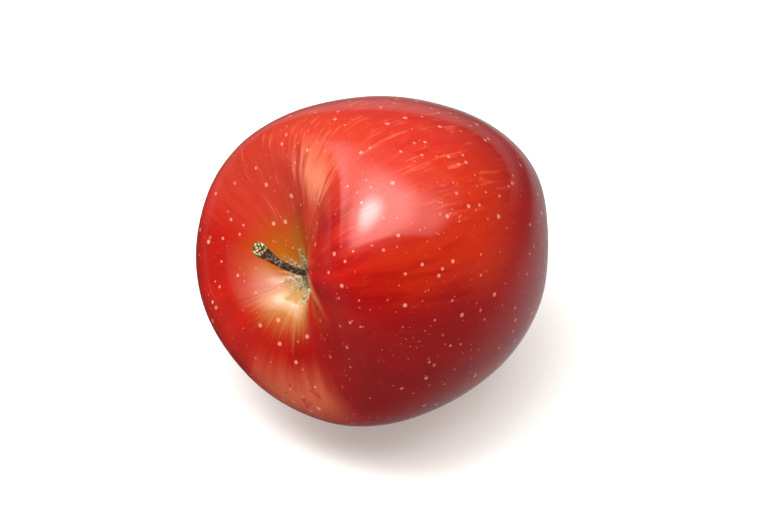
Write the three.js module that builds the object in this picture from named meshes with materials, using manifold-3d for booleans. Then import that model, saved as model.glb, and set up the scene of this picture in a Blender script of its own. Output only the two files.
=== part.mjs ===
// An apple as picked, lying on its cheek: the fruit, its woody stem in the stem pit, and the dried
// flower remains (five sepals and a tuft of stamens) in the calyx basin at the other end.
import * as THREE from "three";
import { mergeVertices } from "three/addons/utils/BufferGeometryUtils.js";
import Module from "manifold-3d";

// Driving dimensions, in millimetres and degrees. The fruit is drawn in a frame of its own: +Z runs
// along the core and out of the stem end, and +X points to the meridian that lies uppermost at rest.
const cheekRadius = 37.5;
const shoulderHeight = 25; // widest ring up to the crest round the stem pit, on average
const shoulderRadius = 22.6; // radius of that crest, on average
const stemPitDepth = 9.8; // the crest's average height down to the pit's floor
const heelDepth = 39.4; // widest ring down to the ring round the calyx basin
const heelRadius = 16; // radius of that ring
const calyxBasinDepth = 7;
const calyxEyeRadius = 3; // flat floor of the basin, where the flower was
const stemFootDiameter = 1.4;
const stemNeckDiameter = 2.1;
const stemKnobDiameter = 3.3; // where the stem broke off the spur
const stemSunkDepth = 4; // how far the stem runs into the flesh
const stemClearance = 0.3; // stem to the flesh all round
const stemPitMargin = 1.1; // free floor round the stem's foot
const sepalLength = 6.5;
const sepalThickness = 0.5;
const sepalGap = 0.35; // between neighbouring sepals
const calyxClearance = 0.3; // sepals and stamens to the basin
const tuftHeight = 3.4;
const tuftRadius = 0.8;
const restTilt = 21; // stem end above level, as the fruit lies
const restFlatDepth = 0.9; // how far the skin is flattened where it rests

// The low waves that keep a grown fruit from being a turned one. Each has its number of crests round
// the core, its size, and the angle of one crest. Shares are of the local radius, the rest millimetres.
const cheekWaves = [
  { crests: 2, size: 0.009, angle: 111 },
  { crests: 3, size: 0.028, angle: -24 },
];
const ribWaves = [{ crests: 5, size: 0.019, angle: -27 }];
const shoulderRises = [
  { crests: 1, size: 3.3, angle: -112 },
  { crests: 2, size: 3.8, angle: -44 },
  { crests: 3, size: 0.7, angle: -66 },
];
const shoulderSpreads = [
  { crests: 1, size: 2.4, angle: 110 },
  { crests: 2, size: 1.5, angle: 80 },
];
const heelRises = [{ crests: 1, size: 1.6, angle: 290 }];
const ribShareOnTop = 0.3; // the ribs are fainter at the stem end
const stemPitOffset = new THREE.Vector2(-1.5, 0.5); // the pit's floor lies off the core's line

// How full each bend of the section is: the handle of its curve, as a share of the curve's width
// where it lies level and of its height where it stands.
const calyxWallFullness = 0.43;
const calyxLipFullness = 0.6;
const heelFullness = 0.586;
const underCheekFullness = 0.5;
const overCheekFullness = 0.633;
const shoulderFullness = 0.671;
const pitLipFullness = 0.62;
const pitWallFullness = 0.5;
const calyxWallFlare = 1; // how far that wall's handle leans outwards
const pitWallFlare = 1.5;

// The middle of the stem from the pit's floor outwards, measured from the middle of that floor.
const stemBends = [
  new THREE.Vector3(0, 0, 0),
  new THREE.Vector3(1.8, 0.7, 5.8),
  new THREE.Vector3(5, 1.6, 12.2),
  new THREE.Vector3(9.8, 2.9, 19.3),
];

// The stem's outline above the pit's floor: how far along its whole length, and how thick there.
const stemOutline = [
  { along: 0.55, thickness: (stemFootDiameter + stemNeckDiameter) / 2 },
  { along: 0.78, thickness: stemNeckDiameter },
  { along: 0.92, thickness: 0.92 * stemKnobDiameter },
  { along: 0.97, thickness: stemKnobDiameter },
  { along: 1, thickness: 0.8 * stemKnobDiameter },
];

const sepalCount = 5;

// Facets.
const fruitColumns = 56;
const stemSides = 12;
const stemStepsPerBend = 4;
const sepalFacetsAcross = 4;
const sepalFacetsAlong = 8;
const tuftSides = 10;
const tuftStepsPerBend = 3;

const wasm = await Module();
wasm.setup();

const up = new THREE.Vector3(0, 0, 1);
const radians = THREE.MathUtils.degToRad;
const turnAtRest = new THREE.Matrix4().makeRotationY(radians(restTilt - 90));

const fadeIn = (share) => Math.sin((share * Math.PI) / 2) ** 2;
const fadeOut = (share) => 1 - fadeIn(share);
const none = () => 0;

function sumOfWaves(waves, angle) {
  return waves.reduce(
    (sum, wave) => sum + wave.size * Math.cos(wave.crests * (angle - radians(wave.angle))),
    0,
  );
}

function toSolid(geometry) {
  const bare = geometry.clone();
  bare.deleteAttribute("normal");
  bare.deleteAttribute("uv");
  const merged = mergeVertices(bare);
  return new wasm.Manifold(
    new wasm.Mesh({
      numProp: 3,
      vertProperties: merged.getAttribute("position").array,
      triVerts: new Uint32Array(merged.index.array),
    }),
  );
}

function toGeometry(solid) {
  const { vertProperties, triVerts } = solid.getMesh();
  const geometry = new THREE.BufferGeometry();
  geometry.setAttribute("position", new THREE.BufferAttribute(vertProperties, 3));
  geometry.setIndex(new THREE.BufferAttribute(triVerts, 1));
  geometry.computeVertexNormals();
  return geometry;
}

// Fruit -------------------------------------------------------------------------------------------

const pitFloorRadius = stemFootDiameter / 2 + stemPitMargin;
const pitFloorHeight = shoulderHeight - stemPitDepth;
const eyeHeight = calyxBasinDepth - heelDepth;

// Half of the fruit's section, from the calyx basin over the cheek to the stem pit, in four curves.
// Each carries how strongly the waves of the top, of the heel and the pit's offset act along it.
function stretchesOfSection() {
  const eyeEdge = new THREE.Vector2(calyxEyeRadius, eyeHeight);
  const heel = new THREE.Vector2(heelRadius, -heelDepth);
  const cheek = new THREE.Vector2(cheekRadius, 0);
  const crest = new THREE.Vector2(shoulderRadius, shoulderHeight);
  const pitEdge = new THREE.Vector2(pitFloorRadius, pitFloorHeight);
  const offset = (point, x, y) => new THREE.Vector2(point.x + x, point.y + y);
  const curve = (from, leaving, arriving, to) =>
    new THREE.CubicBezierCurve(from, leaving, arriving, to);
  return [
    {
      curve: curve(
        eyeEdge,
        offset(eyeEdge, calyxWallFlare, -calyxWallFullness * calyxBasinDepth),
        offset(heel, -calyxLipFullness * (heelRadius - calyxEyeRadius), 0),
        heel,
      ),
      steps: 7,
      top: none,
      bottom: fadeIn,
      pit: none,
    },
    {
      curve: curve(
        heel,
        offset(heel, heelFullness * (cheekRadius - heelRadius), 0),
        offset(cheek, 0, -underCheekFullness * heelDepth),
        cheek,
      ),
      steps: 14,
      top: none,
      bottom: fadeOut,
      pit: none,
    },
    {
      curve: curve(
        cheek,
        offset(cheek, 0, overCheekFullness * shoulderHeight),
        offset(crest, shoulderFullness * (cheekRadius - shoulderRadius), 0),
        crest,
      ),
      steps: 12,
      top: fadeIn,
      bottom: none,
      pit: none,
    },
    {
      curve: curve(
        crest,
        offset(crest, -pitLipFullness * (shoulderRadius - pitFloorRadius), 0),
        offset(pitEdge, pitWallFlare, pitWallFullness * stemPitDepth),
        pitEdge,
      ),
      steps: 9,
      top: fadeOut,
      bottom: none,
      pit: fadeIn,
    },
  ];
}

function sectionOfFruit() {
  const points = [
    { radius: 0, height: eyeHeight, top: 0, bottom: 0, pit: 0 },
    { radius: calyxEyeRadius, height: eyeHeight, top: 0, bottom: 0, pit: 0 },
  ];
  for (const stretch of stretchesOfSection()) {
    for (let step = 1; step <= stretch.steps; step += 1) {
      const share = step / stretch.steps;
      const { x: radius, y: height } = stretch.curve.getPoint(share);
      points.push({
        radius,
        height,
        top: stretch.top(share),
        bottom: stretch.bottom(share),
        pit: stretch.pit(share),
      });
    }
  }
  points.push({ radius: 0, height: pitFloorHeight, top: 0, bottom: 0, pit: 1 });
  return points;
}

// The section is turned round the core, and then each point moves by the waves at its angle.
function grownFruit() {
  const section = sectionOfFruit();
  const turned = section.map((point) => new THREE.Vector2(point.radius, point.height));
  const geometry = new THREE.LatheGeometry(turned, fruitColumns);
  const position = geometry.getAttribute("position");
  for (let column = 0; column <= fruitColumns; column += 1) {
    const angle = ((column % fruitColumns) / fruitColumns) * 2 * Math.PI;
    const cheek = sumOfWaves(cheekWaves, angle);
    const rib = sumOfWaves(ribWaves, angle);
    section.forEach((point, row) => {
      const ribShare = ribShareOnTop + (1 - ribShareOnTop) * point.bottom;
      const radius =
        point.radius * (1 + cheek + rib * ribShare) +
        point.top * sumOfWaves(shoulderSpreads, angle);
      const height =
        point.height +
        point.top * sumOfWaves(shoulderRises, angle) +
        point.bottom * sumOfWaves(heelRises, angle);
      position.setXYZ(
        column * section.length + row,
        radius * Math.cos(angle) + point.pit * stemPitOffset.x,
        radius * Math.sin(angle) + point.pit * stemPitOffset.y,
        height,
      );
    });
  }
  return geometry;
}

// Stem --------------------------------------------------------------------------------------------

// The stem is a turned piece whose axis is bent along its path. Its foot runs straight down into
// the flesh from the pit's floor.
const pitFloorMiddle = new THREE.Vector3(stemPitOffset.x, stemPitOffset.y, pitFloorHeight);

function stemPath(sunkDepth) {
  const points = stemBends.map((bend) => bend.clone().add(pitFloorMiddle));
  points.unshift(pitFloorMiddle.clone().addScaledVector(up, -sunkDepth));
  return new THREE.CatmullRomCurve3(points);
}

function bentAlong(path, outline, steps) {
  const geometry = new THREE.LatheGeometry(outline.getPoints(steps), stemSides);
  const position = geometry.getAttribute("position");
  const length = path.getLength();
  for (let i = 0; i < position.count; i += 1) {
    const share = THREE.MathUtils.clamp(position.getY(i) / length, 0, 1);
    const tangent = path.getTangentAt(share);
    const side = new THREE.Vector3(0, 1, 0).cross(tangent).normalize();
    const across = side.clone().cross(tangent);
    const point = path.getPointAt(share);
    point.addScaledVector(side, position.getX(i));
    point.addScaledVector(across, position.getZ(i));
    position.setXYZ(i, point.x, point.y, point.z);
  }
  return geometry;
}

function stemGeometry() {
  const path = stemPath(stemSunkDepth);
  const length = path.getLength();
  const outline = new THREE.Path();
  outline.moveTo(0, 0);
  outline.lineTo(stemFootDiameter / 2, 0);
  outline.splineThru([
    new THREE.Vector2(stemFootDiameter / 2, stemSunkDepth),
    ...stemOutline.map(
      ({ along, thickness }) => new THREE.Vector2(thickness / 2, along * length),
    ),
  ]);
  outline.lineTo(0, length);
  return bentAlong(path, outline, stemStepsPerBend);
}

// The hole that the stem's foot sits in: straight down, and clear of it all round.
function stemSocket() {
  const depth = stemSunkDepth + stemClearance;
  const radius = stemFootDiameter / 2 + stemClearance;
  const above = stemPitMargin;
  const socket = new THREE.CylinderGeometry(radius, radius, depth + above, stemSides);
  socket.rotateX(Math.PI / 2);
  socket.translate(pitFloorMiddle.x, pitFloorMiddle.y, pitFloorHeight + (above - depth) / 2);
  return socket;
}

// Calyx -------------------------------------------------------------------------------------------

// A dried sepal: a thin strip that stands on the rim of the eye, leans in over it and curls out at
// its tip. Radius is from the core's line, and rise is out of the basin from its floor.
const sepalFootRadius = calyxEyeRadius - calyxClearance - sepalThickness;
const sepalCurve = new THREE.CubicBezierCurve(
  new THREE.Vector2(sepalFootRadius, calyxClearance),
  new THREE.Vector2(sepalFootRadius + 0.06 * sepalLength, 0.35 * sepalLength),
  new THREE.Vector2(sepalFootRadius - 0.22 * sepalLength, 0.62 * sepalLength),
  new THREE.Vector2(sepalFootRadius + 0.22 * sepalLength, 0.86 * sepalLength),
);
const sepalTipWidth = 0.2; // share of the room that a sepal still takes up at its tip
const sepalCup = 0.12; // how far its long edges fold inwards, as a share of its width

function sepalGeometry() {
  const geometry = new THREE.BoxGeometry(1, 1, 1, sepalFacetsAcross, sepalFacetsAlong, 1);
  const position = geometry.getAttribute("position");
  for (let i = 0; i < position.count; i += 1) {
    const along = position.getY(i) + 0.5;
    const across = position.getX(i);
    const middle = sepalCurve.getPoint(along);
    const tangent = sepalCurve.getTangent(along);
    const taper = 1 - (1 - sepalTipWidth) * along ** 2;
    const room = 2 * (middle.x - sepalThickness) * Math.tan(Math.PI / sepalCount) - sepalGap;
    const width = room * taper;
    const lift = position.getZ(i) * sepalThickness * (1 - along / 2);
    const fold = sepalCup * width * (2 * across) ** 2;
    const radius = middle.x - tangent.y * lift - fold;
    const rise = middle.y + tangent.x * lift;
    position.setXYZ(i, radius, across * width, eyeHeight - rise);
  }
  return geometry;
}

function tuftGeometry() {
  const outline = new THREE.Path();
  const base = eyeHeight - calyxClearance;
  outline.moveTo(0, base - tuftHeight);
  outline.splineThru([
    new THREE.Vector2(0.4 * tuftRadius, base - 0.96 * tuftHeight),
    new THREE.Vector2(tuftRadius, base - 0.7 * tuftHeight),
    new THREE.Vector2(0.75 * tuftRadius, base - 0.35 * tuftHeight),
    new THREE.Vector2(tuftRadius, base),
  ]);
  outline.lineTo(0, base);
  const geometry = new THREE.LatheGeometry(outline.getPoints(tuftStepsPerBend), tuftSides);
  return geometry.rotateX(Math.PI / 2);
}

// Assembly ----------------------------------------------------------------------------------------

const cutTolerance = 0.001; // corners this near the cut belong to it

// The fruit lies on its cheek: it is turned, the skin is cut level a little above its lowest point,
// and the middle of that flat spot becomes the part's origin.
function restingFruit() {
  const grown = toSolid(grownFruit()).subtract(toSolid(stemSocket()));
  const lowest = new THREE.Box3().setFromBufferAttribute(
    toGeometry(grown).applyMatrix4(turnAtRest).getAttribute("position"),
  ).min.z;
  const restHeight = lowest + restFlatDepth;
  const ground = new THREE.BoxGeometry(4 * cheekRadius, 4 * cheekRadius, cheekRadius);
  ground.translate(0, 0, restHeight - cheekRadius / 2);
  ground.applyMatrix4(turnAtRest.clone().invert());
  const geometry = toGeometry(grown.subtract(toSolid(ground)));
  const flat = new THREE.Box3();
  const placed = geometry.clone().applyMatrix4(turnAtRest).getAttribute("position");
  for (let i = 0; i < placed.count; i += 1) {
    const point = new THREE.Vector3().fromBufferAttribute(placed, i);
    if (point.z < restHeight + cutTolerance) flat.expandByPoint(point);
  }
  const middle = flat.getCenter(new THREE.Vector3());
  return { geometry, origin: new THREE.Vector3(middle.x, middle.y, restHeight) };
}

function piece(name, geometry, color, roughness) {
  const mesh = new THREE.Mesh(
    geometry,
    new THREE.MeshStandardMaterial({ color, roughness, metalness: 0 }),
  );
  mesh.name = name;
  return mesh;
}

const fruit = restingFruit();
const apple = new THREE.Group();
apple.add(piece("fruit", fruit.geometry, 0xb8231c, 0.3));
apple.add(piece("stem", stemGeometry(), 0x3d2e22, 0.85));
for (let number = 1; number <= sepalCount; number += 1) {
  const sepal = piece(`sepal_${number}`, sepalGeometry(), 0x5b4732, 0.9);
  sepal.rotation.z = ((number - 0.5) / sepalCount) * 2 * Math.PI;
  apple.add(sepal);
}
apple.add(piece("stamen_tuft", tuftGeometry(), 0x4a3826, 0.9));
apple.rotation.setFromRotationMatrix(turnAtRest);
apple.position.copy(fruit.origin).negate();

export default new THREE.Group().add(apple);
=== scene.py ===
import math
import random

import bmesh
import bpy
from mathutils import Matrix, Vector, noise
from mathutils.geometry import interpolate_bezier


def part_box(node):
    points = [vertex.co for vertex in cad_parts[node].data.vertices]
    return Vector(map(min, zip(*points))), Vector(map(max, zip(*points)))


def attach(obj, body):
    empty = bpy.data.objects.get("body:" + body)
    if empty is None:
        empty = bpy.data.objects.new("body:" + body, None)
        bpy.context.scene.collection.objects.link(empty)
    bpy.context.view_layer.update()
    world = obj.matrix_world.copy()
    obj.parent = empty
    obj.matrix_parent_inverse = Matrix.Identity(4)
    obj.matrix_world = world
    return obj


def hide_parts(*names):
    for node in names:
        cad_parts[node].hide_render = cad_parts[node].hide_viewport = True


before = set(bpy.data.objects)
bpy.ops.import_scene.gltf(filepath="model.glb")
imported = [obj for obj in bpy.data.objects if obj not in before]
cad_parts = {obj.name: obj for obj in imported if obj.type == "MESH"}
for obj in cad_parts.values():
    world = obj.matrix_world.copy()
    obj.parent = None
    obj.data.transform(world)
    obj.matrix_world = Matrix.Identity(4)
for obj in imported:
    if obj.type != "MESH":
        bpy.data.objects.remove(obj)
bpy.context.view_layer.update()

scene = bpy.context.scene
scene.view_settings.view_transform = "Standard"


# ---------------------------------------------------------------------------------------------------
# The studio: a white table top in a dim room, under one large lit diffuser. The camera looks down at
# 45 degrees, past the stem end. None of it belongs to the fruit.
camera_azimuth = math.radians(-42.6)
camera_elevation = math.radians(45)
camera_distance = 0.6026
camera_lens = 121.7

fruit_low, fruit_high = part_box("fruit")
fruit_middle = (fruit_low + fruit_high) / 2

to_camera = Vector((
    math.sin(camera_azimuth) * math.cos(camera_elevation),
    -math.cos(camera_azimuth) * math.cos(camera_elevation),
    math.sin(camera_elevation),
))
to_right = Vector((math.cos(camera_azimuth), math.sin(camera_azimuth), 0))
to_top = to_camera.cross(to_right)
aim_right = 0.0026  # how far off the fruit's middle the camera aims
aim_down = 0.0029
aim = fruit_middle + to_right * aim_right - to_top * aim_down

camera = bpy.data.objects.new("camera", bpy.data.cameras.new("camera"))
camera.data.lens = camera_lens
camera.location = aim + to_camera * camera_distance
camera.rotation_euler = to_camera.to_track_quat("Z", "Y").to_euler()
scene.collection.objects.link(camera)
scene.camera = camera


def from_camera(right, top, back):
    """A direction in the room, given by how it looks from the camera."""
    return (right * to_right + top * to_top + back * to_camera).normalized()


def make_object(mesh, name):
    """Turns a finished bmesh into an object, and stands it in the room."""
    made = bpy.data.objects.new(name, bpy.data.meshes.new(name))
    mesh.to_mesh(made.data)
    mesh.free()
    scene.collection.objects.link(made)
    return made


def new_finish(name):
    """A new material, with its node tree and its shader."""
    finish = bpy.data.materials.new(name)
    finish.use_nodes = True
    return finish, finish.node_tree, finish.node_tree.nodes["Principled BSDF"]


def put(tree, kind, inputs, **settings):
    """Adds a node. Its inputs are values, or the outputs of nodes that feed them."""
    node = tree.nodes.new(kind)
    for name, value in settings.items():
        setattr(node, name, value)
    for socket, value in inputs.items():
        if isinstance(value, bpy.types.NodeSocket):
            tree.links.new(value, node.inputs[socket])
        else:
            node.inputs[socket].default_value = value
    return node


def soft_step(tree, value, start, end):
    """Rises smoothly from 0, where the value is at its start, to 1 at its end."""
    inputs = {"Value": value, "From Min": start, "From Max": end}
    return put(tree, "ShaderNodeMapRange", inputs, interpolation_type="SMOOTHSTEP").outputs[0]


def combine(tree, operation, first, second):
    """Adds, multiplies or compares two values with a Math node."""
    return put(tree, "ShaderNodeMath", {0: first, 1: second}, operation=operation).outputs[0]


def paint(tree, under, colour, share):
    """Lays a colour over what is under it, as strongly as the share says."""
    inputs = {"Factor": share, "A": under, "B": colour}
    node = put(tree, "ShaderNodeMix", {}, data_type="RGBA")
    for socket in node.inputs:
        if socket.enabled and socket.name in inputs:
            value = inputs[socket.name]
            if isinstance(value, bpy.types.NodeSocket):
                tree.links.new(value, socket)
            else:
                socket.default_value = value
    return next(socket for socket in node.outputs if socket.enabled)


# A big diffuser hangs over the table. The lamp behind it makes a hot core with a wide glow round it.
# Its near edge is straight, and shows as a sharp line across the fruit's shoulder.
overhead = from_camera(-0.10, 0.56, 0.80)
along_edge = from_camera(0.99, 0.00, 0.12)
diffuser_distance = 1.1
diffuser_sides = ((-2.6, 3.0), (-0.36, 1.5))  # along its near edge, and away from that
diffuser_level = 0.4
diffuser_tint = (1.0, 0.98, 0.95, 1)

diffuser_mesh = bmesh.new()
corners = [(x, y, 0) for x, y in (
    (diffuser_sides[0][0], diffuser_sides[1][0]),
    (diffuser_sides[0][1], diffuser_sides[1][0]),
    (diffuser_sides[0][1], diffuser_sides[1][1]),
    (diffuser_sides[0][0], diffuser_sides[1][1]),
)]
diffuser_mesh.faces.new([diffuser_mesh.verts.new(corner) for corner in corners])
diffuser = make_object(diffuser_mesh, "diffuser")
across_edge = overhead.cross(along_edge)
facing_down = Matrix((along_edge, across_edge, overhead)).transposed()
diffuser.matrix_world = Matrix.LocRotScale(fruit_middle + overhead * diffuser_distance, facing_down, None)

diffuser_glow, glow_tree, unused_shader = new_finish("lit_diffuser")
glow_tree.nodes.remove(unused_shader)
glow_place = put(glow_tree, "ShaderNodeTexCoord", {}).outputs["Object"]

# Each glow has its middle and its reach on the diffuser, the share of that reach over which it fades,
# and its strength.
glow = diffuser_level
for middle, reach, fading, strength in (
    ((-0.24, 0.04), (0.52, 0.28), 0.8, 14.0),
    ((-0.08, 0.06), (1.45, 0.75), 0.7, 4.6),
    ((1.40, 0.02), (1.50, 0.70), 0.8, 2.0),
    ((-1.60, 0.80), (1.50, 1.00), 1.0, 2.6),
):
    place = put(glow_tree, "ShaderNodeMapping", {
        "Vector": glow_place,
        "Location": (*middle, 0),
        "Scale": (*reach, 1),
    }, vector_type="TEXTURE")
    spot = put(
        glow_tree, "ShaderNodeTexGradient", {"Vector": place.outputs[0]}, gradient_type="SPHERICAL",
    )
    spot = soft_step(glow_tree, spot.outputs["Fac"], 0.0, fading)
    glow = combine(glow_tree, "ADD", glow, combine(glow_tree, "MULTIPLY", spot, strength))
emitter = put(glow_tree, "ShaderNodeEmission", {"Color": diffuser_tint, "Strength": glow})
glow_tree.links.new(emitter.outputs[0], glow_tree.nodes["Material Output"].inputs["Surface"])
diffuser.data.materials.append(diffuser_glow)

# The room is dim. What it lends to the shadows is more than what shows in the skin's shine.
world = bpy.data.worlds.new("dim_room")
world.use_nodes = True
room_path = put(world.node_tree, "ShaderNodeLightPath", {})
room_tone = put(world.node_tree, "ShaderNodeValToRGB", {"Fac": room_path.outputs["Is Glossy Ray"]})
room_tone.color_ramp.elements[0].color = (0.24, 0.23, 0.215, 1)
room_tone.color_ramp.elements[1].color = (0.02, 0.019, 0.018, 1)
world_background = world.node_tree.nodes["Background"]
world.node_tree.links.new(room_tone.outputs["Color"], world_background.inputs["Color"])
scene.world = world

# The table top is white acrylic, lit a little from below, so shadows on it stay pale. In the skin's
# shine it shows bright only in a patch beside the fruit and in a band far behind it.
table_half_size = 1.5
table_white = (0.62, 0.62, 0.62, 1)
table_light = (0.33, 0.31, 0.29, 1)
table_mesh = bmesh.new()
bmesh.ops.create_grid(table_mesh, x_segments=1, y_segments=1, size=table_half_size)
table = make_object(table_mesh, "table_top")
table_finish, table_tree, table_shader = new_finish("white_table")
table_shader.inputs["Roughness"].default_value = 0.8
table_shader.inputs["Specular IOR Level"].default_value = 0
table_place = put(table_tree, "ShaderNodeTexCoord", {}).outputs["Object"]
table_mirrored = put(table_tree, "ShaderNodeLightPath", {}).outputs["Is Glossy Ray"]
bright_middle = fruit_middle + from_camera(0.6, 0.5, -0.6) * 0.08
bright_middle.z = 0
bright_inside = 0.05  # distances from its middle, between which it fades
bright_outside = 0.13
table_distance = put(
    table_tree, "ShaderNodeVectorMath", {0: table_place, 1: bright_middle}, operation="DISTANCE",
)
table_tone = put(table_tree, "ShaderNodeMapRange", {
    "Value": table_distance.outputs["Value"],
    "From Min": bright_inside,
    "From Max": bright_outside,
    "To Min": 0.46,
    "To Max": 0.03,
}, interpolation_type="SMOOTHSTEP")
table_away = put(table_tree, "ShaderNodeVectorMath", {
    0: table_place,
    1: from_camera(-0.2, 0.7, -0.7),
}, operation="DOT_PRODUCT")
table_behind = soft_step(table_tree, table_away.outputs["Value"], 0.06, 0.30)
table_behind = combine(table_tree, "MULTIPLY", 0.32, table_behind)
table_tone = combine(table_tree, "MAXIMUM", table_tone.outputs[0], table_behind)
table_base = paint(table_tree, table_white, (0, 0, 0, 1), table_mirrored)
table_glow = paint(table_tree, table_light, table_tone, table_mirrored)
table_tree.links.new(table_base, table_shader.inputs["Base Color"])
table_tree.links.new(table_glow, table_shader.inputs["Emission Color"])
table_shader.inputs["Emission Strength"].default_value = 1
table.data.materials.append(table_finish)


# ---------------------------------------------------------------------------------------------------
# The fruit: skin, flesh and core grown as one. Half of its section is drawn from the calyx eye over
# the heel, the cheek and the shoulder down into the stem pit, turned round the core, and then pushed
# out of true by the low waves of growth. All its sizes are shares of the cheek's radius.
width_in_radii = 2.014  # the waves of growth make it a little wider than round
cheek_radius = (fruit_high.y - fruit_low.y) / width_in_radii
shoulder_height = 0.667 * cheek_radius
shoulder_radius = 0.603 * cheek_radius
stem_pit_depth = 0.261 * cheek_radius
stem_pit_floor = 0.030 * cheek_radius
heel_depth = 1.051 * cheek_radius
heel_radius = 0.427 * cheek_radius
calyx_basin_depth = 0.187 * cheek_radius
calyx_eye_radius = 0.080 * cheek_radius
stem_pit_offset = Vector((-0.040, 0.013, 0)) * cheek_radius
rest_tilt = math.radians(21)
fruit_columns = 96
point_merge_distance = 1e-6

# How full each bend of the section is: the handle of its curve, as a share of the curve's width
# where it lies level and of its height where it stands.
calyx_wall_fullness = 0.43
calyx_wall_flare = 0.027 * cheek_radius
calyx_lip_fullness = 0.6
heel_fullness = 0.586
under_cheek_fullness = 0.5
over_cheek_fullness = 0.633
shoulder_fullness = 0.671
pit_lip_fullness = 0.62
pit_wall_fullness = 0.5
pit_wall_flare = 0.040 * cheek_radius

cheek_waves = ((2, 0.009, 111), (3, 0.028, -24))  # crests round the core, size, angle of a crest
rib_waves = ((5, 0.019, -27),)
shoulder_rises = ((1, 0.088, -112), (2, 0.101, -44), (3, 0.019, -66))
shoulder_spreads = ((1, 0.064, 110), (2, 0.040, 80))
heel_rises = ((1, 0.043, 290),)
rib_share_on_top = 0.3


def sum_of_waves(waves, angle):
    """How high the waves stand in a direction round the core."""
    return sum(size * math.cos(crests * (angle - math.radians(at))) for crests, size, at in waves)


def fade_in(share):
    """Rises softly from 0 to 1 along a stretch of the section."""
    return math.sin(share * math.pi / 2) ** 2


def fade_out(share):
    return 1 - fade_in(share)


def no_share(share):
    return 0.0


eye_edge = Vector((calyx_eye_radius, 0, calyx_basin_depth - heel_depth))
heel = Vector((heel_radius, 0, -heel_depth))
cheek = Vector((cheek_radius, 0, 0))
crest = Vector((shoulder_radius, 0, shoulder_height))
pit_edge = Vector((stem_pit_floor, 0, shoulder_height - stem_pit_depth))

# Each stretch: its two ends with their handles, its steps, and how far the waves of the top and of
# the heel and the pit's offset act along it.
stretches = (
    (
        eye_edge,
        eye_edge + Vector((calyx_wall_flare, 0, -calyx_wall_fullness * calyx_basin_depth)),
        heel - Vector((calyx_lip_fullness * (heel_radius - calyx_eye_radius), 0, 0)),
        heel,
        10, no_share, fade_in, no_share,
    ),
    (
        heel,
        heel + Vector((heel_fullness * (cheek_radius - heel_radius), 0, 0)),
        cheek - Vector((0, 0, under_cheek_fullness * heel_depth)),
        cheek,
        18, no_share, fade_out, no_share,
    ),
    (
        cheek,
        cheek + Vector((0, 0, over_cheek_fullness * shoulder_height)),
        crest + Vector((shoulder_fullness * (cheek_radius - shoulder_radius), 0, 0)),
        crest,
        16, fade_in, no_share, no_share,
    ),
    (
        crest,
        crest - Vector((pit_lip_fullness * (shoulder_radius - stem_pit_floor), 0, 0)),
        pit_edge + Vector((pit_wall_flare, 0, pit_wall_fullness * stem_pit_depth)),
        pit_edge,
        12, fade_out, no_share, fade_in,
    ),
)

fruit_mesh = bmesh.new()
of_top = fruit_mesh.verts.layers.float.new("of_top")
of_heel = fruit_mesh.verts.layers.float.new("of_heel")
of_pit = fruit_mesh.verts.layers.float.new("of_pit")
from_eye = fruit_mesh.verts.layers.float.new("from_eye")

section = [fruit_mesh.verts.new((0, 0, eye_edge.z)), fruit_mesh.verts.new(eye_edge)]
for start, leaving, arriving, end, steps, top_share, heel_share, pit_share in stretches:
    points = interpolate_bezier(start, leaving, arriving, end, steps + 1)
    for step in range(1, steps + 1):
        point = fruit_mesh.verts.new(points[step])
        point[of_top] = top_share(step / steps)
        point[of_heel] = heel_share(step / steps)
        point[of_pit] = pit_share(step / steps)
        section.append(point)
section.append(fruit_mesh.verts.new((0, 0, pit_edge.z)))
section[-1][of_pit] = 1

section_edges = []
for point, following in zip(section, section[1:]):
    section_edges.append(fruit_mesh.edges.new((point, following)))
    following[from_eye] = point[from_eye] + (following.co - point.co).length
skin_length = section[-1][from_eye]

bmesh.ops.spin(
    fruit_mesh,
    geom=section + section_edges,
    cent=(0, 0, 0),
    axis=(0, 0, 1),
    dvec=(0, 0, 0),
    angle=2 * math.pi,
    steps=fruit_columns,
    use_merge=True,
    use_normal_flip=False,
    use_duplicate=False,
)
bmesh.ops.remove_doubles(fruit_mesh, verts=fruit_mesh.verts[:], dist=point_merge_distance)

# The skin's grain runs from the stem to the calyx. Each point keeps the direction that it has round
# the core, and how far down the skin it lies from the stem's foot, in cheek radii.
grain = fruit_mesh.verts.layers.float_vector.new("grain")
for point in fruit_mesh.verts:
    angle = math.atan2(point.co.y, point.co.x)
    on_core = point.co.xy.length < point_merge_distance
    down = (skin_length - point[from_eye]) / cheek_radius
    around = Vector((0, 0)) if on_core else Vector((math.cos(angle), math.sin(angle)))
    point[grain] = (around.x, around.y, down)
    ribs = rib_share_on_top + (1 - rib_share_on_top) * point[of_heel]
    swell = 1 + sum_of_waves(cheek_waves, angle) + ribs * sum_of_waves(rib_waves, angle)
    spread = point[of_top] * sum_of_waves(shoulder_spreads, angle) * cheek_radius
    rise = point[of_top] * sum_of_waves(shoulder_rises, angle)
    rise += point[of_heel] * sum_of_waves(heel_rises, angle)
    point.co.xy = point.co.xy * swell + around * spread
    point.co += stem_pit_offset * point[of_pit]
    point.co.z += rise * cheek_radius

# It lies on its cheek: the core is tilted, and the fruit is set where the CAD fruit is.
lying = Matrix.Rotation(rest_tilt - math.pi / 2, 4, "Y")
bmesh.ops.transform(fruit_mesh, matrix=lying, verts=fruit_mesh.verts[:])
lowest = Vector([min(point.co[axis] for point in fruit_mesh.verts) for axis in range(3)])
highest = Vector([max(point.co[axis] for point in fruit_mesh.verts) for axis in range(3)])
placing = fruit_middle - (lowest + highest) / 2
placing.z = fruit_high.z - highest.z
core = Matrix.Translation(placing) @ lying
bmesh.ops.translate(fruit_mesh, vec=placing, verts=fruit_mesh.verts[:])
bmesh.ops.recalc_face_normals(fruit_mesh, faces=fruit_mesh.faces[:])

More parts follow.
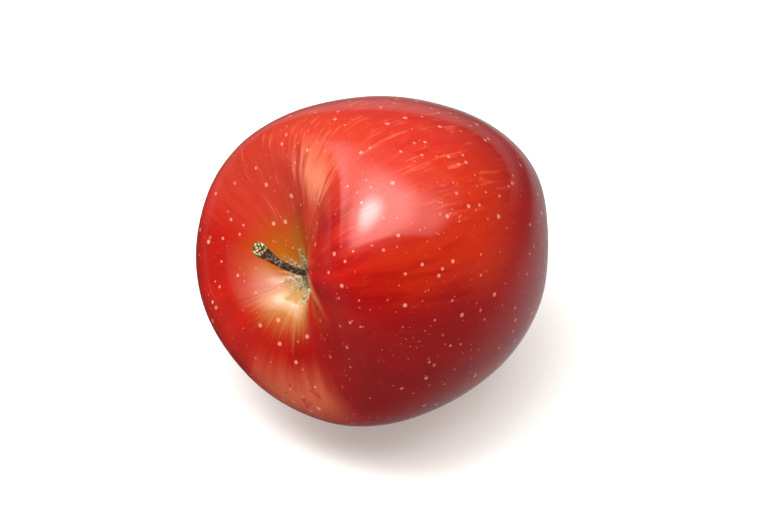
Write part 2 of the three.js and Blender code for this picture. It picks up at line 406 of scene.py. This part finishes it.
# Grown skin isn't a smooth surface: broad shallow dents and fine ones make the highlights wander.
fruit_mesh.normal_update()
dents = ((0.014, 0.00022), (0.006, 0.00005))  # width and depth
for point in fruit_mesh.verts:
    dent = sum(depth * noise.noise(point.co / width) for width, depth in dents)
    point.co += point.normal * dent * (1 - point[of_pit])

# The skin is pressed flat where it rests, with a soft edge.
rest_softness = 0.0004
for point in fruit_mesh.verts:
    height = point.co.z
    point.co.z = (height + math.sqrt(height ** 2 + rest_softness ** 2)) / 2


def grow(mesh, name):
    """Makes a grown piece, which is smooth all over."""
    for face in mesh.faces:
        face.smooth = True
    return make_object(mesh, name)


fruit = grow(fruit_mesh, "apple_fruit")
smoother = fruit.modifiers.new("smooth_skin", "SUBSURF")
smoother.levels = 2
smoother.render_levels = 2

# The skin's finish: a thin coat of natural wax over the colour. The red is painted first, and the
# yellow ground over it, where the blush is thin. Patterns that follow the growth read the grain.
skin, skin_tree, skin_shader = new_finish("apple_skin")
skin_grain = put(skin_tree, "ShaderNodeAttribute", {}, attribute_name="grain").outputs["Vector"]
skin_down = put(skin_tree, "ShaderNodeSeparateXYZ", {"Vector": skin_grain}).outputs["Z"]
skin_place = put(skin_tree, "ShaderNodeTexCoord", {}).outputs["Object"]


def streaks(around, along, detail=2.0):
    """Noise drawn out from stem to calyx: how fine it is round the core, and down the skin."""
    inputs = {0: skin_grain, 1: (around, around, along)}
    stretched = put(skin_tree, "ShaderNodeVectorMath", inputs, operation="MULTIPLY").outputs[0]
    inputs = {"Vector": stretched, "Scale": 1.0, "Detail": detail}
    return put(skin_tree, "ShaderNodeTexNoise", inputs).outputs["Fac"]


broad_streaks = streaks(3.5, 1.6)
fine_streaks = streaks(42.0, 5.0, 3.0)
wide_streaks = streaks(19.0, 3.2, 3.0)
flecks = streaks(55.0, 22.0, 2.0)
ragged = combine(skin_tree, "ADD", broad_streaks, wide_streaks)
ragged = combine(skin_tree, "SUBTRACT", ragged, 1.0)  # strays to both sides of 0
zone_blur = 14  # degrees to each side over which a patch fades


def zone(angle, reach, top, bottom, raggedness=0.25, softness=0.12):
    """A patch of skin: the direction of its middle round the core and its half width, in degrees,
    and how far down the skin it starts and ends, in cheek radii."""
    middle = (math.cos(math.radians(angle)), math.sin(math.radians(angle)), 0)
    inputs = {0: skin_grain, 1: middle}
    facing = put(skin_tree, "ShaderNodeVectorMath", inputs, operation="DOT_PRODUCT").outputs["Value"]
    strayed = combine(skin_tree, "MULTIPLY", ragged, raggedness)
    facing = combine(skin_tree, "ADD", facing, strayed)
    inner = math.cos(math.radians(max(reach - zone_blur, 2)))
    outer = math.cos(math.radians(min(reach + zone_blur, 178)))
    down = combine(skin_tree, "ADD", skin_down, combine(skin_tree, "MULTIPLY", strayed, 2.0))
    mask = soft_step(skin_tree, facing, outer, inner)
    for start, end in ((top - softness, top + softness), (bottom + softness, bottom - softness)):
        mask = combine(skin_tree, "MULTIPLY", mask, soft_step(skin_tree, down, start, end))
    return mask


def pores(cell, radius):
    """Pale breathing pores: a dot wherever the middle of a cell lies near the skin."""
    inputs = {"Vector": skin_place, "Scale": 1 / cell}
    spots = put(skin_tree, "ShaderNodeTexVoronoi", inputs)
    reach = combine(skin_tree, "MULTIPLY", spots.outputs["Color"], radius / cell)
    rim = combine(skin_tree, "DIVIDE", spots.outputs["Distance"], reach)
    return soft_step(skin_tree, rim, 1.1, 0.5)


def share_of(mask, strength):
    """Weakens a mask of the skin to a share of its strength."""
    return combine(skin_tree, "MULTIPLY", mask, strength)


deep_red = (0.27, 0.0006, 0.0006, 1)
bright_red = (0.40, 0.004, 0.001, 1)
skin_colour = paint(skin_tree, deep_red, bright_red, soft_step(skin_tree, broad_streaks, 0.35, 0.7))

# The blush, laid on in patches: colour, strength, and the patch it covers.
for colour, strength, patch in (
    ((0.46, 0.030, 0.018, 1), 0.75, zone(2, 42, 0.80, 2.00, 0.16, 0.2)),
    ((0.42, 0.034, 0.015, 1), 0.75, zone(40, 52, 0.42, 1.30, 0.16, 0.15)),
    ((0.44, 0.022, 0.001, 1), 0.65, zone(315, 18, 0.95, 1.95, 0.16, 0.25)),
    ((0.19, 0.0005, 0.002, 1), 0.70, zone(255, 28, 0.70, 2.30, 0.16, 0.2)),
    ((0.22, 0.0005, 0.0005, 1), 0.80, zone(226, 22, 0.48, 0.86, 0.16, 0.12)),
    ((0.33, 0.007, 0.001, 1), 0.70, zone(145, 55, 0.42, 0.78, 0.2, 0.15)),
    ((0.32, 0.006, 0.004, 1), 0.50, zone(130, 80, 0.95, 2.60, 0.2, 0.2)),
    ((0.20, 0.002, 0.003, 1), 0.60, zone(325, 45, 1.80, 2.70, 0.16, 0.25)),
):
    skin_colour = paint(skin_tree, skin_colour, colour, share_of(patch, strength))

# Pale streaks stand in clusters on the side that lies uppermost, and faint dark ones run all round.
streaked_side = zone(14, 52, 0.40, 1.90)
pale_streaks = soft_step(skin_tree, fine_streaks, 0.50, 0.74)
clusters = soft_step(skin_tree, streaks(7.0, 6.0), 0.40, 0.62)
pale_streaks = combine(skin_tree, "MULTIPLY", pale_streaks, clusters)
pale_share = share_of(combine(skin_tree, "MULTIPLY", pale_streaks, streaked_side), 0.38)
skin_colour = paint(skin_tree, skin_colour, (0.72, 0.19, 0.10, 1), pale_share)
dark_streaks = soft_step(skin_tree, wide_streaks, 0.52, 0.36)
skin_colour = paint(skin_tree, skin_colour, (0.20, 0.001, 0.001, 1), share_of(dark_streaks, 0.18))
fleck_share = share_of(soft_step(skin_tree, flecks, 0.58, 0.80), 0.16)
skin_colour = paint(skin_tree, skin_colour, (0.62, 0.09, 0.05, 1), fleck_share)

# Where the blush is thin, the ground colour shows: a freckled peach scar, a pale patch at the ridge
# over the pit, and the stem pit, which turns from orange at its lip to green gold at its floor.
freckles = put(skin_tree, "ShaderNodeTexNoise", {"Vector": skin_place, "Scale": 420.0}).outputs["Fac"]
scar = zone(202, 17, 0.72, 1.02, 0.06, 0.17)
freckle_share = combine(skin_tree, "MULTIPLY", scar, soft_step(skin_tree, freckles, 0.60, 0.68))
for colour, share in (
    ((0.54, 0.13, 0.055, 1), share_of(scar, 0.65)),
    ((0.32, 0.010, 0.008, 1), share_of(freckle_share, 0.8)),
    ((0.82, 0.26, 0.14, 1), share_of(zone(15, 4, 0.70, 0.92, 0.16, 0.12), 0.6)),
    ((0.32, 0.085, 0.003, 1), zone(70, 46, -1.0, 0.38, 0.10, 0.20)),
    ((0.34, 0.072, 0.006, 1), zone(160, 56, -1.0, 0.36, 0.05, 0.22)),
    ((0.54, 0.30, 0.070, 1), zone(180, 34, -1.0, 0.30, 0.05, 0.20)),
    ((0.36, 0.20, 0.030, 1), zone(0, 180, -1.0, 0.16, 0.1, 0.10)),
):
    skin_colour = paint(skin_tree, skin_colour, colour, share)

# Fine pale lines run out of the pit over its golden side.
pit_lines = soft_step(skin_tree, streaks(80.0, 3.0, 2.0), 0.45, 0.68)
fan = combine(skin_tree, "MULTIPLY", zone(172, 42, 0.12, 0.42, 0.12, 0.14), pit_lines)
skin_colour = paint(skin_tree, skin_colour, (0.80, 0.56, 0.30, 1), share_of(fan, 0.2))

# A net of grey russet lies round the foot of the stem, with dark green between its cells.
net = put(skin_tree, "ShaderNodeTexVoronoi", {"Vector": skin_place, "Scale": 1800.0})
net_cells = soft_step(skin_tree, net.outputs["Distance"], 0.80, 0.40)
russet_colour = paint(skin_tree, (0.07, 0.06, 0.020, 1), (0.50, 0.44, 0.32, 1), net_cells)
russet = soft_step(skin_tree, combine(skin_tree, "ADD", skin_down, share_of(ragged, 0.3)), 0.21, 0.13)
skin_colour = paint(skin_tree, skin_colour, russet_colour, share_of(russet, 0.8))
# Right round the stem's foot the skin is painted nearly black: partly its own dark green skin, partly
# painted shade of the deep hollow there.
painted_hollow_shade = soft_step(skin_tree, skin_down, 0.12, 0.06)
skin_colour = paint(skin_tree, skin_colour, (0.02, 0.02, 0.006, 1), painted_hollow_shade)

# The ground is yellow green inside the calyx basin.
basin = soft_step(skin_tree, combine(skin_tree, "ADD", skin_down, share_of(ragged, 0.4)), 2.66, 3.10)
skin_colour = paint(skin_tree, skin_colour, (0.40, 0.20, 0.03, 1), share_of(basin, 0.7))

# The pores: large ones, and fainter small ones between them.
pore_mask = combine(skin_tree, "MAXIMUM", pores(0.0027, 0.00075), share_of(pores(0.0019, 0.0004), 0.4))
skin_colour = paint(skin_tree, skin_colour, (0.80, 0.40, 0.30, 1), share_of(pore_mask, 0.5))
skin_tree.links.new(skin_colour, skin_shader.inputs["Base Color"])

# The wax is missing in the pit. The skin under it is duller, rougher in the flecks and slightly raised
# at the pores and streaks.
skin_shader.inputs["IOR"].default_value = 1.35
skin_shader.inputs["Specular IOR Level"].default_value = 0.2
wax = soft_step(skin_tree, skin_down, 0.15, 0.32)
skin_tree.links.new(share_of(wax, 0.85), skin_shader.inputs["Coat Weight"])
skin_shader.inputs["Coat Roughness"].default_value = 0.09
dullness = put(skin_tree, "ShaderNodeMapRange", {"Value": flecks, "To Min": 0.32, "To Max": 0.46})
skin_tree.links.new(dullness.outputs[0], skin_shader.inputs["Roughness"])
relief = combine(skin_tree, "ADD", pore_mask, share_of(fine_streaks, 0.5))
bumps = put(skin_tree, "ShaderNodeBump", {"Height": relief, "Strength": 0.25, "Distance": 0.00006})
skin_tree.links.new(bumps.outputs["Normal"], skin_shader.inputs["Normal"])
skin_tree.links.new(bumps.outputs["Normal"], skin_shader.inputs["Coat Normal"])
fruit.data.materials.append(skin)
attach(fruit, "root")
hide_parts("fruit")


# ---------------------------------------------------------------------------------------------------
# The stem: a bent woody stalk with thin ridged bark, and a knob where it broke off the spur. It grew
# out of the fruit, so its foot stands in the pit's floor and runs on into the flesh.
stem_sunk_depth = 0.004
stem_bends = (  # its middle line, from the middle of the pit's floor
    (0, 0, -stem_sunk_depth),
    (0, 0, 0),
    (0.0018, 0.0007, 0.0058),
    (0.0050, 0.0016, 0.0122),
    (0.0098, 0.0029, 0.0193),
)
stem_outline = (  # share of its length, and its radius there
    (0.00, 0.00000),
    (0.00, 0.00066),
    (0.15, 0.00068),
    (0.55, 0.00082),
    (0.78, 0.00100),
    (0.90, 0.00134),
    (0.94, 0.00152),
    (0.975, 0.00158),
    (0.995, 0.00138),
    (0.998, 0.00095),
    (0.985, 0.00050),
    (0.98, 0.00000),
)
stem_columns = 36
stem_rows = 120
ridge_height = 0.09  # share of the radius
rough_end_start = 0.9  # share of its length from which the broken end's surface is uneven
rough_end_height = 0.0004
stem_line_steps = 60
pit_middle = stem_pit_offset + Vector((0, 0, pit_edge.z))


def line_through(points, steps):
    """Points on a smooth line through the given ones, evenly spaced along it."""
    fine_steps = 40
    points = [Vector(point) for point in points]
    ends = [2 * points[0] - points[1], *points, 2 * points[-1] - points[-2]]
    line = []
    for before, start, end, after in zip(ends, ends[1:], ends[2:], ends[3:]):
        leaving = start + (end - before) / 6
        arriving = end - (after - start) / 6
        line += interpolate_bezier(start, leaving, arriving, end, fine_steps)[:-1]
    line.append(points[-1])
    lengths = [0]
    for point, following in zip(line, line[1:]):
        lengths.append(lengths[-1] + (following - point).length)
    even = []
    at = 0
    for step in range(steps + 1):
        wanted = lengths[-1] * step / steps
        while at < len(line) - 2 and lengths[at + 1] < wanted:
            at += 1
        part = (wanted - lengths[at]) / (lengths[at + 1] - lengths[at])
        even.append(line[at].lerp(line[at + 1], part))
    return even


stem_line = line_through(stem_bends, stem_line_steps)
stem_mesh = bmesh.new()
bmesh.ops.create_grid(stem_mesh, x_segments=stem_columns, y_segments=stem_rows, size=0.5)
bark = stem_mesh.verts.layers.float_vector.new("bark")
for point in stem_mesh.verts:
    angle = (point.co.x + 0.5) * 2 * math.pi
    row = (point.co.y + 0.5) * (len(stem_outline) - 1)
    step = min(int(row), len(stem_outline) - 2)
    (start, start_radius), (end, end_radius) = stem_outline[step:step + 2]
    along = start + (end - start) * (row - step)
    radius = start_radius + (end_radius - start_radius) * (row - step)
    at = along * stem_line_steps
    before = min(int(at), stem_line_steps - 1)
    middle = stem_line[before].lerp(stem_line[before + 1], at - before)
    tangent = (stem_line[before + 1] - stem_line[before]).normalized()
    side = Vector((0, 1, 0)).cross(tangent).normalized()
    across = side.cross(tangent)
    around = Vector((math.cos(angle), math.sin(angle)))
    ridges = noise.noise(Vector((around.x * 2.2, around.y * 2.2, along * 7)))
    lumps = noise.noise(Vector((around.x * 1.1, around.y * 1.1, along * 22)) + Vector((7, 3, 1)))
    swell = 1 + ridge_height * (ridges + lumps)
    rough_end = max(0, (along - rough_end_start) / (1 - rough_end_start))
    unevenness = noise.noise(Vector((around.x, around.y, radius / 0.0005)) * 1.6)
    lift = rough_end * rough_end_height * unevenness
    point[bark] = (around.x, around.y, along)
    point.co = middle + (around.x * side + around.y * across) * radius * swell + tangent * lift
bmesh.ops.remove_doubles(stem_mesh, verts=stem_mesh.verts[:], dist=point_merge_distance)
bmesh.ops.translate(stem_mesh, vec=pit_middle, verts=stem_mesh.verts[:])
bmesh.ops.transform(stem_mesh, matrix=core, verts=stem_mesh.verts[:])
bmesh.ops.recalc_face_normals(stem_mesh, faces=stem_mesh.faces[:])
stem = grow(stem_mesh, "apple_stem")

bark_finish, bark_tree, bark_shader = new_finish("stem_bark")
bark_grain = put(bark_tree, "ShaderNodeAttribute", {}, attribute_name="bark").outputs["Vector"]
bark_along = put(bark_tree, "ShaderNodeSeparateXYZ", {"Vector": bark_grain}).outputs["Z"]
bark_place = put(bark_tree, "ShaderNodeTexCoord", {}).outputs["Object"]
bark_drawn = put(
    bark_tree, "ShaderNodeVectorMath", {0: bark_grain, 1: (3.0, 3.0, 16.0)}, operation="MULTIPLY",
).outputs[0]
fibres = put(bark_tree, "ShaderNodeTexNoise", {"Vector": bark_drawn, "Detail": 4.0, "Scale": 1.0})
mottle = put(bark_tree, "ShaderNodeTexNoise", {"Vector": bark_place, "Detail": 4.0, "Scale": 900.0})
bark_colour = paint(
    bark_tree, (0.010, 0.007, 0.004, 1), (0.17, 0.11, 0.060, 1),
    soft_step(bark_tree, fibres.outputs["Fac"], 0.40, 0.66),
)
lichen = soft_step(bark_tree, mottle.outputs["Fac"], 0.53, 0.62)
lichen = combine(bark_tree, "MULTIPLY", lichen, 0.75)
bark_colour = paint(bark_tree, bark_colour, (0.42, 0.36, 0.24, 1), lichen)

# The broken end is pale and corky, with dark pits.
broken = soft_step(bark_tree, bark_along, 0.945, 0.975)
cork_cells = put(bark_tree, "ShaderNodeTexVoronoi", {"Vector": bark_place, "Scale": 1500.0})
cork = paint(
    bark_tree, (0.55, 0.46, 0.25, 1), (0.05, 0.035, 0.01, 1),
    soft_step(bark_tree, cork_cells.outputs["Distance"], 0.36, 0.56),
)
bark_colour = paint(bark_tree, bark_colour, cork, broken)
bark_tree.links.new(bark_colour, bark_shader.inputs["Base Color"])
bark_dullness = put(bark_tree, "ShaderNodeMapRange", {
    "Value": fibres.outputs["Fac"],
    "To Min": 0.55,
    "To Max": 0.85,
})
bark_tree.links.new(bark_dullness.outputs[0], bark_shader.inputs["Roughness"])
bark_relief = combine(bark_tree, "ADD", fibres.outputs["Fac"], mottle.outputs["Fac"])
bark_bumps = put(bark_tree, "ShaderNodeBump", {
    "Height": bark_relief,
    "Strength": 0.6,
    "Distance": 0.0002,
})
bark_tree.links.new(bark_bumps.outputs["Normal"], bark_shader.inputs["Normal"])
stem.data.materials.append(bark_finish)
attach(stem, "root")
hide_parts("stem")


# ---------------------------------------------------------------------------------------------------
# The sepals: five dried leaves of the flower's cup, brown and papery. They grew on the rim of the
# calyx eye, and close over it with their tips curled out.
sepal_count = 5
sepal_length = 0.0065
sepal_thickness = 0.00028
sepal_foot = Vector((0.0022, 0, 0.0003))  # its distance from the core's line, and its rise
sepal_curve = (  # foot, its two handles, tip
    sepal_foot,
    sepal_foot + Vector((0.06, 0, 0.35)) * sepal_length,
    Vector((sepal_foot.x, 0, 0)) + Vector((-0.22, 0, 0.62)) * sepal_length,
    Vector((sepal_foot.x, 0, 0)) + Vector((0.22, 0, 0.85)) * sepal_length,
)
sepal_columns = 8
sepal_rows = 24
sepal_gap = 0.0004
sepal_ring_inset = 0.0005  # room left in the middle of the ring
sepal_taper = 0.82  # share of its width lost by the tip
sepal_fold = 0.12  # how far its edges fold in, as a share of its width
sepal_wrinkle = 0.0001
sepal_shortening = 0.04  # share of its length that one with no fullness would lose

sepal_finish, sepal_tree, sepal_shader = new_finish("dried_sepal")
sepal_place = put(sepal_tree, "ShaderNodeTexCoord", {}).outputs["Object"]
sepal_grain = put(sepal_tree, "ShaderNodeAttribute", {}, attribute_name="vein").outputs["Vector"]
sepal_drawn = put(
    sepal_tree, "ShaderNodeVectorMath", {0: sepal_grain, 1: (9.0, 1.6, 3.0)}, operation="MULTIPLY",
).outputs[0]
veins = put(sepal_tree, "ShaderNodeTexNoise", {"Vector": sepal_drawn, "Detail": 3.0, "Scale": 1.0})
sepal_down = put(sepal_tree, "ShaderNodeSeparateXYZ", {"Vector": sepal_grain}).outputs["Y"]
hairs = put(sepal_tree, "ShaderNodeTexNoise", {"Vector": sepal_place, "Detail": 4.0, "Scale": 2200.0})
sepal_colour = paint(
    sepal_tree, (0.075, 0.040, 0.018, 1), (0.30, 0.20, 0.10, 1),
    soft_step(sepal_tree, veins.outputs["Fac"], 0.38, 0.64),
)
hair_share = soft_step(sepal_tree, hairs.outputs["Fac"], 0.54, 0.66)
hair_share = combine(sepal_tree, "MULTIPLY", hair_share, 0.6)
sepal_colour = paint(sepal_tree, sepal_colour, (0.42, 0.38, 0.28, 1), hair_share)
dark_tip = combine(sepal_tree, "MULTIPLY", soft_step(sepal_tree, sepal_down, 0.75, 1.0), 0.7)
sepal_colour = paint(sepal_tree, sepal_colour, (0.035, 0.020, 0.010, 1), dark_tip)
sepal_tree.links.new(sepal_colour, sepal_shader.inputs["Base Color"])
sepal_dullness = put(sepal_tree, "ShaderNodeMapRange", {
    "Value": veins.outputs["Fac"],
    "To Min": 0.7,
    "To Max": 0.95,
})
sepal_tree.links.new(sepal_dullness.outputs[0], sepal_shader.inputs["Roughness"])
sepal_bumps = put(sepal_tree, "ShaderNodeBump", {
    "Height": combine(sepal_tree, "ADD", veins.outputs["Fac"], hairs.outputs["Fac"]),
    "Strength": 0.5,
    "Distance": 0.0001,
})
sepal_tree.links.new(sepal_bumps.outputs["Normal"], sepal_shader.inputs["Normal"])

dried = random.Random(11)
for number in range(1, sepal_count + 1):
    fullness = dried.uniform(0.8, 1.0)
    sepal_mesh = bmesh.new()
    bmesh.ops.create_grid(
        sepal_mesh, x_segments=sepal_columns, y_segments=sepal_rows, size=0.5,
    )
    vein = sepal_mesh.verts.layers.float_vector.new("vein")
    sepal_line = interpolate_bezier(*sepal_curve, sepal_rows + 1)
    for point in sepal_mesh.verts:
        across = point.co.x
        along = point.co.y + 0.5
        middle = sepal_line[round(along * sepal_rows)]
        room = 2 * (middle.x - sepal_ring_inset) * math.tan(math.pi / sepal_count) - sepal_gap
        width = room * (1 - sepal_taper * along ** 2)
        fold = sepal_fold * width * (2 * across) ** 2
        wrinkle = sepal_wrinkle * noise.noise(Vector((across * 4, along * 6, number * 3.7)))
        rise = middle.z * (1 - sepal_shortening * (1 - fullness))
        point[vein] = (across, along, number)
        point.co = (middle.x - fold + wrinkle, across * width, eye_edge.z - rise)
    turn = Matrix.Rotation((number - 0.5) / sepal_count * 2 * math.pi, 4, "Z")
    bmesh.ops.transform(sepal_mesh, matrix=core @ turn, verts=sepal_mesh.verts[:])
    bmesh.ops.recalc_face_normals(sepal_mesh, faces=sepal_mesh.faces[:])
    sepal = grow(sepal_mesh, f"apple_sepal_{number}")
    leaf = sepal.modifiers.new("leaf_thickness", "SOLIDIFY")
    leaf.thickness = sepal_thickness
    leaf.offset = 0
    rounder = sepal.modifiers.new("soft_edges", "SUBSURF")
    rounder.levels = 1
    rounder.render_levels = 1
    sepal.data.materials.append(sepal_finish)
    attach(sepal, "root")
    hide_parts(f"sepal_{number}")


# ---------------------------------------------------------------------------------------------------
# The stamen tuft: the dried threads left in the middle of the flower, dark brown and brittle. They
# grew from the floor of the eye, inside the ring of sepals, and spread a little at their tips.
tuft_height = 0.0034
tuft_radius = 0.0008
tuft_base = eye_edge.z - 0.0003
tuft_cushion_radius = 0.9 * tuft_radius
tuft_cushion_height = 0.0004
thread_count = 19
thread_radius = 0.00011
thread_feet_radius = 0.6 * tuft_radius
thread_tips_radius = 0.85 * tuft_radius
thread_start = 0.0005  # from the tuft's base, inside the cushion
thread_bend = 0.0001
thread_columns = 8
thread_steps = 12
golden_angle = 2.399963  # in radians, so that the threads stand evenly without forming rows

tuft_mesh = bmesh.new()
strand = tuft_mesh.verts.layers.float_vector.new("strand")
bmesh.ops.create_uvsphere(tuft_mesh, u_segments=20, v_segments=10, radius=1)
for point in tuft_mesh.verts:
    point.co = (
        point.co.x * tuft_cushion_radius,
        point.co.y * tuft_cushion_radius,
        tuft_base + (point.co.z - 1) * tuft_cushion_height,
    )
for number in range(thread_count):
    angle = number * golden_angle
    spread = math.sqrt((number + 0.5) / thread_count)
    foot = Vector((math.cos(angle), math.sin(angle), 0)) * thread_feet_radius * spread
    lean = Vector((math.cos(angle + 0.6), math.sin(angle + 0.6), 0)) * thread_tips_radius * spread
    reach = tuft_height * dried.uniform(0.78, 0.97)
    bend = Vector((dried.uniform(-1, 1), dried.uniform(-1, 1), 0)) * thread_bend
    start = foot + Vector((0, 0, tuft_base - thread_start))
    end = lean + Vector((0, 0, tuft_base - reach))
    thread_line = interpolate_bezier(
        start,
        start.lerp(end, 0.35) + bend,
        end + Vector((0, 0, reach * 0.35)) - bend,
        end,
        thread_steps + 1,
    )
    # The first and last rows close the ends: they lie at the same places as their neighbours, with
    # no radius.
    thread_rows = thread_steps + 2
    thread = bmesh.ops.create_grid(
        tuft_mesh, x_segments=thread_columns, y_segments=thread_rows, size=0.5,
    )["verts"]
    for point in thread:
        angle = point.co.x * 2 * math.pi
        row = round((point.co.y + 0.5) * thread_rows)
        step = min(max(row - 1, 0), thread_steps)
        along = step / thread_steps
        # It narrows to its tip, and swells near it, where the pollen sac was.
        anther = math.exp(-((along - 0.93) / 0.06) ** 2)
        radius = thread_radius * (1 - 0.45 * along + 0.9 * anther) if 0 < row < thread_rows else 0
        point[strand] = (number, along, 0)
        point.co = thread_line[step] + Vector((math.cos(angle), math.sin(angle), 0)) * radius
bmesh.ops.remove_doubles(tuft_mesh, verts=tuft_mesh.verts[:], dist=1e-7)
bmesh.ops.transform(tuft_mesh, matrix=core, verts=tuft_mesh.verts[:])
bmesh.ops.recalc_face_normals(tuft_mesh, faces=tuft_mesh.faces[:])
tuft = grow(tuft_mesh, "apple_stamens")

tuft_finish, tuft_tree, tuft_shader = new_finish("dried_stamens")
tuft_strand = put(tuft_tree, "ShaderNodeAttribute", {}, attribute_name="strand").outputs["Vector"]
tuft_place = put(tuft_tree, "ShaderNodeTexCoord", {}).outputs["Object"]
tuft_tones = put(tuft_tree, "ShaderNodeTexNoise", {"Vector": tuft_strand, "Detail": 2.0, "Scale": 1.7})
tuft_specks = put(tuft_tree, "ShaderNodeTexNoise", {"Vector": tuft_place, "Detail": 3.0, "Scale": 2500.0})
tuft_colour = paint(
    tuft_tree, (0.045, 0.024, 0.012, 1), (0.22, 0.13, 0.060, 1),
    soft_step(tuft_tree, tuft_tones.outputs["Fac"], 0.36, 0.62),
)
pollen_share = soft_step(tuft_tree, tuft_specks.outputs["Fac"], 0.56, 0.68)
pollen_share = combine(tuft_tree, "MULTIPLY", pollen_share, 0.6)
tuft_colour = paint(tuft_tree, tuft_colour, (0.40, 0.30, 0.18, 1), pollen_share)
tuft_tree.links.new(tuft_colour, tuft_shader.inputs["Base Color"])
tuft_dullness = put(tuft_tree, "ShaderNodeMapRange", {
    "Value": tuft_specks.outputs["Fac"],
    "To Min": 0.7,
    "To Max": 0.92,
})
tuft_tree.links.new(tuft_dullness.outputs[0], tuft_shader.inputs["Roughness"])
tuft.data.materials.append(tuft_finish)
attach(tuft, "root")
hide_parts("stamen_tuft")
